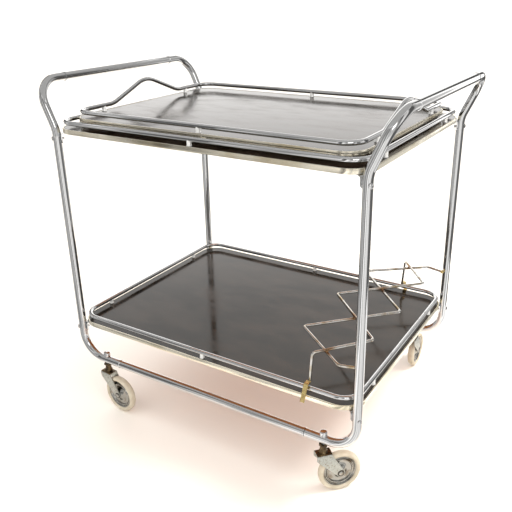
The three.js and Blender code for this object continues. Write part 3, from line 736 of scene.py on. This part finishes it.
def screw_head_solid():
    """The slotted dome, as a grid of points over a flat base."""
    rows = screw_rows()
    columns = 14
    top = []
    for y in rows:
        half = math.sqrt(SCREW_HEAD_R**2 - y**2)
        xs = [half * math.sin(math.pi / 2 * (2 * column / columns - 1)) for column in range(columns + 1)]
        top += [Vector((x, y, dome_height(x, y))) for x in xs]
    base = [Vector((v.x, v.y, 0.0)) for v in top]
    width, count = columns + 1, len(top)
    corners = [row * width + column for row in range(len(rows) - 1) for column in range(columns)]
    faces = [(a, a + 1, a + 1 + width, a + width) for a in corners]
    under = [tuple(count + i for i in reversed(face)) for face in faces]
    rim = list(range(width))
    rim += [row * width + columns for row in range(1, len(rows))]
    rim += [count - width + column for column in reversed(range(columns))]
    rim += [row * width for row in reversed(range(1, len(rows) - 1))]
    walls = [(a, count + a, count + b, b) for a, b in zip(rim, rim[1:] + rim[:1])]
    solid = Solid()
    solid.add(top + base, faces + under + walls)
    return solid


def screw_solid():
    """A slotted dome head outside the tube, and a shank through the tube and the bracket."""
    solid = screw_head_solid()
    tail = -(2 * TUBE_R + GAP + BRACKET_PLATE + SCREW_TAIL)
    shank = [(0.0, tail), (0.7 * SCREW_SHANK_R, tail), (SCREW_SHANK_R, tail + SCREW_TIP)]
    shank += [(SCREW_SHANK_R, 0.0), (0.0, 0.0)]
    solid.join(turned(shank, 24))
    return solid.moved(Matrix.Translation((TUBE_R + GAP, 0.0, 0.0)) @ Matrix.Rotation(math.pi / 2, 4, "Y"))


def make_fixings():
    for tier, top in (("lower", LOWER_TOP), ("top", UPPER_TOP)):
        under = top - BOARD_DEPTH
        for corner in CORNERS:
            bracket = bracket_solid().moved(corner_place(corner, under - GAP))
            node = f"bracket_{tier}_{corner}"
            make_piece(f"{node}_strap", bracket, [CHROME], "frame", [node], STRAP_ROUND)
            screw = screw_solid().moved(corner_place(corner, under - SCREW_DROP))
            node = f"screw_{tier}_{corner}"
            make_piece(f"{node}_dome", screw, [CHROME], "frame", [node])


# -------- casters

STEM_BOTTOM = bottom_of("caster_stem_front_left")
STEM_TOP = top_of("caster_stem_front_left")
RACE_BOTTOM = bottom_of("caster_race_front_left")
RACE_TOP = top_of("caster_race_front_left")
FORK_TOP = top_of("caster_fork_front_left")
FORK_INSIDE = 0.008
FORK_PLATE = 0.002
FORK_FRONT = 0.014
FORK_BACK = -0.014
FORK_FRONT_DROP = 0.0045
FORK_BACK_DROP = 0.012
FORK_EYE_R = 0.0076
FORK_BEND = 0.003
FORK_ROUND = 0.0005
AXLE_R = 0.003
AXLE_HEAD_R = 0.0044
AXLE_WASHER_R = 0.0066
AXLE_HEAD_RISE = 0.0018
RIVET_R = 0.006
RIVET_RISE = 0.0022
CAP_R = 0.0066
CAP_SKIRT_R = 0.007
CAP_DOME = 0.0026
NUT_R = 0.0084
NUT_HEIGHT = 0.0045
SHANK_R = 0.004
THREAD_PITCH = 0.00125
THREAD_DEPTH = 0.0005


def hex_nut(radius, low, high):
    """A six-sided nut about Z with turned-down corners."""
    chamfer = 0.0006
    sixth = [math.pi / 3 * s for s in range(6)]
    levels = [(radius - chamfer, low), (radius, low + chamfer)]
    levels += [(radius, high - chamfer), (radius - chamfer, high)]
    rings = [[Vector((r * math.cos(a), r * math.sin(a), z)) for a in sixth] for r, z in levels]
    return rings_to_solid(rings)


def cap_nut(bottom):
    spring = STEM_TOP - CAP_DOME
    profile = [(0.0, bottom), (CAP_SKIRT_R, bottom), (CAP_SKIRT_R, bottom + 0.0012)]
    profile += [(CAP_R, bottom + 0.0016), (CAP_R, spring)]
    profile += [(CAP_R * math.cos(a), spring + CAP_DOME * math.sin(a)) for a in (0.35, 0.7, 1.05, 1.35)]
    return turned([*profile, (0.0, STEM_TOP)], 40)


def threaded_shank(bottom, top):
    root = SHANK_R - THREAD_DEPTH
    profile = [(0.0, bottom)]
    for turn in range(int((top - bottom) / THREAD_PITCH)):
        z = bottom + turn * THREAD_PITCH
        profile += [(root, z), (SHANK_R, z + THREAD_PITCH / 2)]
    return turned([*profile, (root, top), (0.0, top)], SMALL_TURNED)


def stem_solid():
    """Cap nut above the tube, threaded shank, lock nut below, and the rivet head that carries the fork."""
    cap_bottom = RAIL_Z + TUBE_R + GAP
    nut_top = RAIL_Z - TUBE_R - GAP
    rivet_top = STEM_BOTTOM + RIVET_RISE
    solid = cap_nut(cap_bottom)
    solid.join(threaded_shank(rivet_top, cap_bottom))
    rivet = [(0.0, STEM_BOTTOM), (RIVET_R - 0.002, STEM_BOTTOM), (RIVET_R - 0.0002, STEM_BOTTOM + 0.001)]
    solid.join(turned([*rivet, (RIVET_R, rivet_top), (0.0, rivet_top)], SMALL_TURNED))
    solid.join(hex_nut(NUT_R, nut_top - NUT_HEIGHT, nut_top), number=1)
    return solid


def race_solid():
    """The swivel head: a neck that flares to a narrow foot on the fork's crown."""
    bore, neck, foot, soft = 0.0043, 0.0058, 0.0076, 0.0004
    profile = [(bore, RACE_BOTTOM), (foot - soft, RACE_BOTTOM), (foot, RACE_BOTTOM + soft)]
    profile += [(foot, RACE_BOTTOM + 0.0020), (foot - soft, RACE_BOTTOM + 0.0026)]
    profile += arc(foot + 0.0022, RACE_BOTTOM + 0.0064, 0.0036, 240, 180, 6)
    profile += [(neck, RACE_TOP - 0.0005), (neck - 0.0005, RACE_TOP), (bore, RACE_TOP)]
    return turned(profile, 48)


def tangent_angle(point, eye, side):
    away = point - eye
    return math.atan2(away.y, away.x) + side * math.acos(FORK_EYE_R / away.length)


def fork_arm_outline():
    """Side view of one arm as (x, z) points: wide under the crown, tapering to the eye round the axle."""
    eye = Vector((TRAIL, WHEEL_Z))
    front = Vector((FORK_FRONT, FORK_TOP - FORK_FRONT_DROP))
    back = Vector((FORK_BACK, FORK_TOP - FORK_BACK_DROP))
    start, end = tangent_angle(back, eye, 1), tangent_angle(front, eye, -1)
    span = (end - start) % (2 * math.pi)
    outline = [(FORK_BACK, FORK_TOP - FORK_BEND), (back.x, back.y)]
    outline += arc(eye.x, eye.y, FORK_EYE_R, math.degrees(start), math.degrees(start + span), 24)
    outline += [(front.x, front.y), (FORK_FRONT, FORK_TOP - FORK_BEND)]
    return outline


def crown_section():
    """(y, z) points of the bent plate that joins the arms, outside first and then back along the inside."""
    outer_y = FORK_INSIDE + FORK_PLATE
    outside = arc(outer_y - FORK_BEND, FORK_TOP - FORK_BEND, FORK_BEND, 0, 90, 6)
    inner_bend = FORK_BEND - FORK_PLATE
    inside = arc(outer_y - FORK_BEND, FORK_TOP - FORK_BEND, inner_bend, 90, 0, 6)
    outside += [(-y, z) for y, z in reversed(outside)]
    inside = [(-y, z) for y, z in reversed(inside)] + inside
    return outside + inside


def fork_solid():
    """Two arms and the crown plate between them. The crown's top and upper bends are bronzed."""
    solid = Solid()
    outline = fork_arm_outline()
    for side in (-1, 1):
        inner, outer = side * FORK_INSIDE, side * (FORK_INSIDE + FORK_PLATE)
        rings = [[Vector((x, y, z)) for x, z in outline] for y in (inner, outer)]
        solid.join(rings_to_solid(rings))
    section = crown_section()
    crown = rings_to_solid([[Vector((x, y, z)) for y, z in section] for x in (FORK_BACK, FORK_FRONT)])
    flat, bronzed = len(section) // 4 - 1, 4
    for face in range(flat - bronzed, flat + bronzed + 1):
        crown.numbers[face] = 1
    solid.join(crown)
    return solid


def wheel_place():
    """Lays a piece that was turned about Z on the wheel's axle."""
    return Matrix.Translation((TRAIL, 0.0, WHEEL_Z)) @ Matrix.Rotation(math.pi / 2, 4, "X")


def axle_solid():
    """The riveted axle: outside each arm a washer, coloured dark as painted groove shade, and a bright domed
    head.
    """
    face = FORK_INSIDE + FORK_PLATE
    tip, shoulder, pin_end = face + AXLE_HEAD_RISE, face + 0.0007, face + 0.001
    solid = turned([(0.0, -pin_end), (AXLE_R, -pin_end), (AXLE_R, pin_end), (0.0, pin_end)], SMALL_TURNED)
    washer = [(0.0, face - 0.0002), (AXLE_WASHER_R, face - 0.0002), (AXLE_WASHER_R, face + 0.0002)]
    washer += [(AXLE_WASHER_R - 0.0003, face + 0.0005), (0.0, face + 0.0005)]
    head = [(0.0, face + 0.0004), (AXLE_HEAD_R, face + 0.0004)]
    head += [(AXLE_HEAD_R * r, shoulder + (tip - shoulder) * z) for r, z in arc(0.0, 0.0, 1.0, 0, 72, 4)]
    head += [(0.0, tip)]
    for flip in (Matrix.Identity(4), Matrix.Rotation(math.pi, 4, "X")):
        # The washers take the painted groove shade.
        solid.join(turned(washer, 40, number=1), flip)
        solid.join(turned(head, 40), flip)
    return solid.moved(wheel_place())


def both_sides(half):
    """A closed wheel profile from its (radius, half width) points, listed from the outside in."""
    return [(r, -w) for r, w in reversed(half)] + half


def wheel_solid():
    """Pressed disc wheel: rolled rim, groove, raised ring, dished web and a long hub."""
    half = [(0.0307, 0.0040), (0.0304, 0.0048), (0.0295, 0.0050), (0.0288, 0.0043), (0.0281, 0.0030)]
    half += [(0.0272, 0.0022), (0.0262, 0.0024), (0.0254, 0.0037), (0.0246, 0.0047), (0.0238, 0.0047)]
    half += [(0.0230, 0.0038), (0.0223, 0.0024), (0.0211, 0.0017), (0.0175, 0.0015), (0.0146, 0.0020)]
    half += [(0.0119, 0.0033), (0.0100, 0.0048), (0.0084, 0.0060), (0.0076, 0.0067), (0.0072, 0.0071)]
    half += [(0.0068, 0.0074), (0.0033, 0.0074)]
    return turned(both_sides(half), WHEEL_TURNED).moved(wheel_place())


def tyre_solid():
    """Soft tyre with rounded shoulders, a flat tread and a moulding line round each side."""
    falls = [(0.0, 0.0), (0.0, 0.0018), (0.0002, 0.0032), (0.0008, 0.0046), (0.0018, 0.0059)]
    falls += [(0.0031, 0.0069), (0.0044, 0.0074), (0.0049, 0.0071), (0.0054, 0.0073), (0.0064, 0.0069)]
    falls += [(0.0075, 0.0058), (0.0085, 0.0048)]
    half = [(WHEEL_R - fall, width) for fall, width in falls]
    profile = [(r, -w) for r, w in reversed(half)] + half[1:]
    return turned(profile, WHEEL_TURNED).moved(wheel_place())


def make_caster(corner):
    pivot = PIVOTS[f"caster_swivel_{corner}"]
    hub = PIVOTS[f"caster_roller_{corner}"]
    yaw = math.atan2(hub.y - pivot.y, hub.x - pivot.x)
    place = Matrix.Translation((pivot.x, pivot.y, 0.0)) @ Matrix.Rotation(yaw, 4, "Z")
    swivel, roller = f"caster_swivel_{corner}", f"caster_roller_{corner}"
    parts = (
        ("stem", stem_solid(), [CHROME, BRONZE], "frame", "bracket_steel", 0.0),
        ("race", race_solid(), [BRONZE], "frame", "bronzed_metal", 0.0),
        ("fork", fork_solid(), [ZINC, BRONZE], swivel, "zinc_plate", FORK_ROUND),
        # The axle's second material is the painted groove shade on its washers.
        ("axle", axle_solid(), [PRESSED_ZINC, WASHER_GROOVE_SHADE], swivel, "zinc_plate", 0.0),
        ("wheel", wheel_solid(), [PRESSED_ZINC], roller, "zinc_plate", 0.0),
        ("tyre", tyre_solid(), [RUBBER], roller, "cream_rubber", 0.0),
    )
    for part, solid, materials, body, slot, bevel in parts:
        nodes = [] if part == "axle" else [f"caster_{part}_{corner}"]
        make_piece(f"{part}_{corner}", solid.moved(place), materials, body, nodes, bevel)


# -------- bottle rack

RACK_LEGGED_Z = top_of("rack_wire_legged") - WIRE_R
RACK_ARMED_Z = RACK_LEGGED_Z - 2 * WIRE_R - GAP
RACK_LEFT_X = 0.167
RACK_RIGHT_X = 0.299
LEGGED_TIP_Y = 0.130
ARMED_TIP_Y = 0.139
TIP_R = 0.006
LEG_X = 0.227
FOOT_X = 0.223
LEG_Y = 0.2195
LEG_BEND_R = 0.007
FOOT_BEND_R = 0.0035
ARM_X = 0.278
ARM_Y = 0.225
ARM_BEND_R = 0.012
ARM_END_X = 0.311
ARM_END_Y = 0.2154
BEAD_R = 0.0037
BRAZE_BEAD_R = 1.25 * WIRE_R
BRAZE_BEAD_HALF = 0.9 * WIRE_R
BRAZE_REACH = 0.016
WIRE_STEP = 0.004
CLIP_HALF_PLATE = 0.0006
CLIP_HALF_WIDTH = 0.0042
CLIP_BEND_R = 0.003
CLIP_BEND_Y = 0.2325
CLIP_END_Y = 0.247
CLIP_END_DROP = 0.0074


def mirrored_route(half, middle):
    """A rack wire: the front half from its end, the tip on the middle line, and the mirrored back half."""
    front = [(Vector((x, MIDDLE_Y - y, z)), radius) for (x, y, z), radius in half]
    back = [(Vector((x, MIDDLE_Y + y, z)), radius) for (x, y, z), radius in reversed(half)]
    return [*front, (Vector((middle[0], MIDDLE_Y, middle[1])), TIP_R), *back]


def legged_route():
    foot_z = LOWER_TOP + RAIL_RISE + RAIL_R + WIRE_R + GAP
    foot_end_y = BOARD_HALF_Y - RAIL_INSET + WIRE_R / 2
    half = [
        ((FOOT_X, foot_end_y, foot_z), 0),
        ((FOOT_X, LEG_Y, foot_z), FOOT_BEND_R),
        ((LEG_X, LEG_Y, RACK_LEGGED_Z), LEG_BEND_R),
        ((RACK_RIGHT_X, LEGGED_TIP_Y, RACK_LEGGED_Z), TIP_R),
    ]
    return mirrored_route(half, (RACK_LEFT_X, RACK_LEGGED_Z))


def armed_route():
    half = [
        ((ARM_END_X, ARM_END_Y, RACK_ARMED_Z), 0),
        ((ARM_X, ARM_Y, RACK_ARMED_Z), ARM_BEND_R),
        ((RACK_LEFT_X, ARMED_TIP_Y, RACK_ARMED_Z), TIP_R),
    ]
    return mirrored_route(half, (RACK_RIGHT_X, RACK_ARMED_Z))


def crossing(a, b, c, d):
    """Where line a-b crosses line c-d, seen from above."""
    along, other, between = b - a, d - c, c - a
    share = (between.x * other.y - between.y * other.x) / (along.x * other.y - along.y * other.x)
    return a + along * share


def rack_crossings():
    """The four places where the two zigzags cross, from their unrounded corners."""
    legged = [point for point, _ in legged_route()]
    armed = [point for point, _ in armed_route()]
    runs = (((2, 3), (1, 2)), ((3, 4), (2, 3)), ((4, 5), (3, 4)), ((5, 6), (4, 5)))
    return [crossing(legged[a], legged[b], armed[c], armed[d]) for (a, b), (c, d) in runs]


def spread_stations(stations):
    """Adds stations along the straight runs, to carry a colour that varies along the wire."""
    spread = [stations[0]]
    for (start, _), (end, heading) in zip(stations, stations[1:]):
        steps = max(1, round((end - start).length / WIRE_STEP))
        spread += [(start.lerp(end, step / steps), heading) for step in range(1, steps + 1)]
    return spread


def braze_colour(piece, spots):
    layer = piece.data.attributes.new("braze", "FLOAT", "POINT")
    for vertex in piece.data.vertices:
        distance = min((vertex.co - spot).length for spot in spots)
        layer.data[vertex.index].value = max(0.0, 1.0 - (distance / BRAZE_REACH) ** 2)


def bead_solid(place, radius, half_height, segments):
    """A round or flattened bead about Z."""
    profile = [(radius * r, half_height * z) for r, z in arc(0.0, 0.0, 1.0, -75, 75, 10)]
    solid = turned([(0.0, -half_height), *profile, (0.0, half_height)], segments)
    return solid.moved(Matrix.Translation(place))


def clip_solid(sign):
    """A brass strip that lies over the wire's foot and the rail and hangs down outside the shelf edge."""
    half, width = CLIP_HALF_PLATE, CLIP_HALF_WIDTH
    z = LOWER_TOP + RAIL_RISE + RAIL_R + 2 * WIRE_R + 2 * GAP + half
    ends = [(LEG_Y + WIRE_R + 2 * GAP, z), (CLIP_BEND_Y, z), (CLIP_END_Y, LOWER_TOP - CLIP_END_DROP)]
    corners = [(Vector((FOOT_X, MIDDLE_Y + sign * y, height)), CLIP_BEND_R) for y, height in ends]
    rings = []
    for point, heading in fillet_route(corners):
        across = Vector((1.0, 0.0, 0.0))
        normal = heading.cross(across)
        offsets = ((-width, -half), (width, -half), (width, half), (-width, half))
        rings.append([point + across * a + normal * b for a, b in offsets])
    return rings_to_solid(rings)


def make_rack():
    """The two wires, brazed where they cross, with beads on the arms' ends and clips on the rail."""
    mid_z = (RACK_LEGGED_Z + RACK_ARMED_Z) / 2
    spots = [Vector((spot.x, spot.y, mid_z)) for spot in rack_crossings()]
    legged = rod(spread_stations(fillet_route(legged_route())), WIRE_R, WIRE_SIDES)
    for spot in spots:
        legged.join(bead_solid(spot, BRAZE_BEAD_R, BRAZE_BEAD_HALF, 24))
    armed = rod(spread_stations(fillet_route(armed_route())), WIRE_R, WIRE_SIDES)
    for name, node, wire in (("legs", "legged", legged), ("arms", "armed", armed)):
        nodes = [f"rack_wire_{node}"]
        piece = make_piece(f"rack_wire_on_{name}", wire, [CHROME_WIRE], "frame", nodes)
        braze_colour(piece, spots)
    for side, sign in (("front", -1), ("back", 1)):
        arm_end = Vector((ARM_END_X, MIDDLE_Y + sign * ARM_END_Y, RACK_ARMED_Z))
        bead = bead_solid(arm_end, BEAD_R, BEAD_R, SMALL_TURNED)
        make_piece(f"rack_bead_{side}", bead, [BRASS], "frame")
        node = f"rack_clip_{side}"
        make_piece(f"{node}_strip", clip_solid(sign), [BRASS], "frame", [node], STRAP_ROUND)


# -------- studio


FLOOR_HALF = 6.0
CEILING_HALF = 3.2
CEILING_Z = 3.5


def square(half, z):
    return [(-half, -half, z), (half, -half, z), (half, half, z), (-half, half, z)]


def staged(name, vertices, faces, material):
    """An object that is part of the studio and not of the trolley."""
    mesh = bpy.data.meshes.new(name)
    mesh.from_pydata(vertices, [], faces)
    mesh.materials.append(material)
    thing = bpy.data.objects.new(name, mesh)
    bpy.context.scene.collection.objects.link(thing)
    return thing


def make_floor():
    staged("floor", square(FLOOR_HALF, 0.0), [(0, 1, 2, 3)], floor_material())


CAMERA_AZIMUTH = math.radians(31.77)
CAMERA_ELEVATION = math.radians(22.04)
CAMERA_ROLL = math.radians(-0.90)
CAMERA_PLACE = Vector((0.6541, -1.0441, 0.8444))
CAMERA_LENS = 45.26
CAMERA_SENSOR = 36.0
CAMERA_SHIFT = (-0.0231, -0.0228)
LIGHT_TARGET = Vector((0.0, 0.0, 0.35))


def make_camera():
    a, e, roll = CAMERA_AZIMUTH, CAMERA_ELEVATION, CAMERA_ROLL
    back = Vector((math.sin(a) * math.cos(e), -math.cos(a) * math.cos(e), math.sin(e)))
    level = Vector((math.cos(a), math.sin(a), 0.0))
    upward = back.cross(level)
    right = level * math.cos(roll) + upward * math.sin(roll)
    up = upward * math.cos(roll) - level * math.sin(roll)
    turn = Matrix((right, up, back)).transposed().to_4x4()
    data = bpy.data.cameras.new("camera")
    data.lens = CAMERA_LENS
    data.sensor_width = CAMERA_SENSOR
    data.shift_x, data.shift_y = CAMERA_SHIFT
    camera = bpy.data.objects.new("camera", data)
    camera.matrix_world = Matrix.Translation(CAMERA_PLACE + Vector((0.0, MIDDLE_Y, 0.0))) @ turn
    bpy.context.scene.collection.objects.link(camera)
    bpy.context.scene.camera = camera


def around(azimuth, radius, height):
    """A place round the trolley. Azimuth 0 is the camera's side, and it grows towards the camera's right."""
    a = CAMERA_AZIMUTH + math.radians(azimuth)
    return Vector((radius * math.sin(a), -radius * math.cos(a), height))


def make_world():
    world = bpy.data.worlds.new("studio")
    bpy.context.scene.world = world
    world.use_nodes = True
    background = world.node_tree.nodes["Background"]
    background.inputs["Color"].default_value = (1.0, 0.99, 0.975, 1.0)
    background.inputs["Strength"].default_value = 1.5


def make_softbox(name, place, size, radiance):
    """A square light aimed at the trolley. Mirror-like surfaces see the cards and not this light."""
    data = bpy.data.lights.new(name, "AREA")
    data.size = size
    data.energy = radiance * math.pi * size * size
    data.color = (1.0, 0.98, 0.95)
    light = bpy.data.objects.new(name, data)
    light.location = place
    light.rotation_mode = "QUATERNION"
    light.rotation_quaternion = (place - LIGHT_TARGET).to_track_quat("Z", "Y")
    light.visible_camera = False
    light.visible_glossy = False
    bpy.context.scene.collection.objects.link(light)


def card_material(name, low, high, streaky):
    """Glow that changes from low to high with height, with upright bands if streaky."""
    shader = Shader(name, Base_Color=(0.0, 0.0, 0.0, 1.0), Emission_Color=(1.0, 0.985, 0.965, 1.0))
    split = shader.node("SeparateXYZ")
    shader.links.new(shader.object_space, split.inputs[0])
    glow = shader.remap(split.outputs["Z"], 1.0, 1.9, low, high)
    if streaky:
        heading = shader.calculate("ARCTAN2", split.outputs["Y"], split.outputs["X"])
        bands = shader.remap(shader.line_noise(heading, 2.6), 0.42, 0.58, 0.35, 1.3)
        glow = shader.calculate("MULTIPLY", glow, bands)
    shader.links.new(glow, shader.bsdf.inputs["Emission Strength"])
    return shader.material


def reflection_only(name, vertices, faces, low, high, streaky=False):
    """A card that nothing but a mirror-like surface sees, as a studio uses to draw lines into chrome."""
    card = staged(name, vertices, faces, card_material(name, low, high, streaky))
    card.visible_camera = False
    card.visible_diffuse = False
    card.visible_shadow = False


def curved_card(name, azimuth, width, near, far, low, high, streaky=False):
    """A band of card round the trolley, between two (radius, height) rims."""
    steps = 12
    spots = [azimuth + width * (step / steps - 0.5) for step in range(steps + 1)]
    vertices = [around(spot, radius, z) for radius, z in (near, far) for spot in spots]
    faces = [(i, i + 1, i + steps + 2, i + steps + 1) for i in range(steps)]
    reflection_only(name, vertices, faces, low, high, streaky)


# The two rims of a card, each as (radius, height).
WALL = ((3.4, -0.1), (3.4, 3.4))
DARK_WALL = ((3.1, -0.1), (3.1, 3.0))
DARK_FLOOR = ((0.72, 0.006), (3.1, 0.006))

# Azimuth, width and glow of each dark flag, which is a wall card and a floor card.
DARK_FLAGS = ((-27, 10, 0.10), (-70, 12, 0.12), (95, 24, 0.10), (-138, 24, 0.05), (138, 14, 0.08))


def make_studio():
    make_softbox("key_softbox", around(84, 1.6, 2.2), 0.8, 23.0)
    curved_card("backdrop", 180, 110, *WALL, 1.85, 1.15)
    curved_card("side_left", -100, 50, *WALL, 0.75, 0.62, True)
    curved_card("side_right", 100, 50, *WALL, 0.85, 0.85, True)
    curved_card("room", 0, 150, *WALL, 0.80, 0.50, True)
    curved_card("room_floor_left", -95, 110, (0.50, 0.004), (3.3, 0.004), 0.64, 0.64, True)
    curved_card("room_floor_right", 55, 190, (0.44, 0.004), (3.3, 0.004), 1.15, 1.15, True)
    curved_card("dark_floor_near", 64, 46, (0.98, 0.008), (3.1, 0.008), 0.10, 0.10)
    curved_card("dull_floor", -64, 36, (1.0, 0.008), (1.7, 0.008), 0.46, 0.46)
    curved_card("valance", 180, 130, (3.38, 2.95), (3.38, 3.5), 0.35, 0.35)
    curved_card("window", 14, 24, (3.3, 1.5), (3.3, 2.6), 3.0, 3.0)
    for index, (azimuth, width, glow) in enumerate(DARK_FLAGS):
        curved_card(f"dark_wall_{index}", azimuth, width, *DARK_WALL, glow, glow)
        curved_card(f"dark_floor_{index}", azimuth, width, *DARK_FLOOR, glow, glow)
    reflection_only("ceiling", square(CEILING_HALF, CEILING_Z), [(0, 1, 2, 3)], 0.5, 0.5)


for corner_name in CORNERS:
    make_leg(corner_name)
make_straight_tubes()
make_shelf("lower_shelf", LOWER_TOP)
make_shelf("top_shelf", UPPER_TOP)
make_tray()
make_fixings()
for corner_name in CORNERS:
    make_caster(corner_name)
make_rack()
make_floor()
make_camera()
make_world()
make_studio()
bpy.context.scene.view_settings.view_transform = "Standard"
